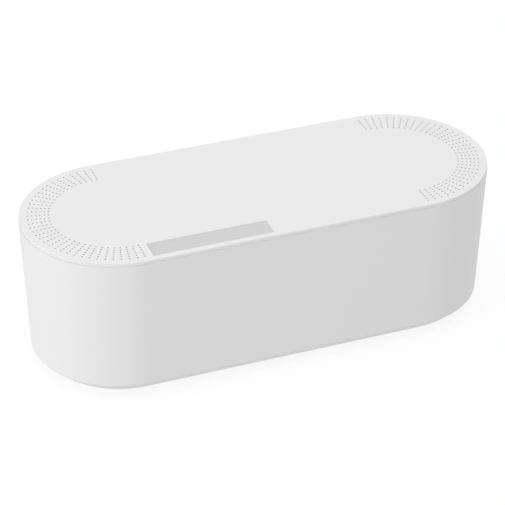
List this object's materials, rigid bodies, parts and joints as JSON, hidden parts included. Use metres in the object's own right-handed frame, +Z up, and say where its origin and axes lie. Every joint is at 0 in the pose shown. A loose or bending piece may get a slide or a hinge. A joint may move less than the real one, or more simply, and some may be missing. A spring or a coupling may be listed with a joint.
{
  "type": "cable management box",
  "caption": "Obround white cable management box: drafted tub, lift-off lid with dotted vents over both round ends, a bare label recess, rear and base cable openings, and rubber feet.",
  "frame": {"origin": "on the ground under the middle of the box", "axes": "+Z up, +X along the box's length to the right as seen from the front, -Y towards the front with the label recess, +Y towards the rear with the cable notches"},
  "size_m": [0.4148, 0.165, 0.135],
  "materials": {
    "tub_plastic": "satin white moulded plastic with a very fine even grain",
    "lid_plastic": "satin white moulded plastic with a very fine even grain, and a slightly rougher floor in the label recess",
    "foot_rubber": "plain dark grey rubber, matt"
  },
  "bodies": {
    "box": {"tub": "tub_plastic", "foot_front_left": "foot_rubber", "foot_front_right": "foot_rubber", "foot_rear_left": "foot_rubber", "foot_rear_right": "foot_rubber"},
    "lid": {"lid": "lid_plastic"}
  },
  "joints": [
    {"name": "lid_lift", "type": "slide", "parent": "box", "child": "lid", "axis": [0, 0, 1], "range_m": [0, 0.15]}
  ]
}
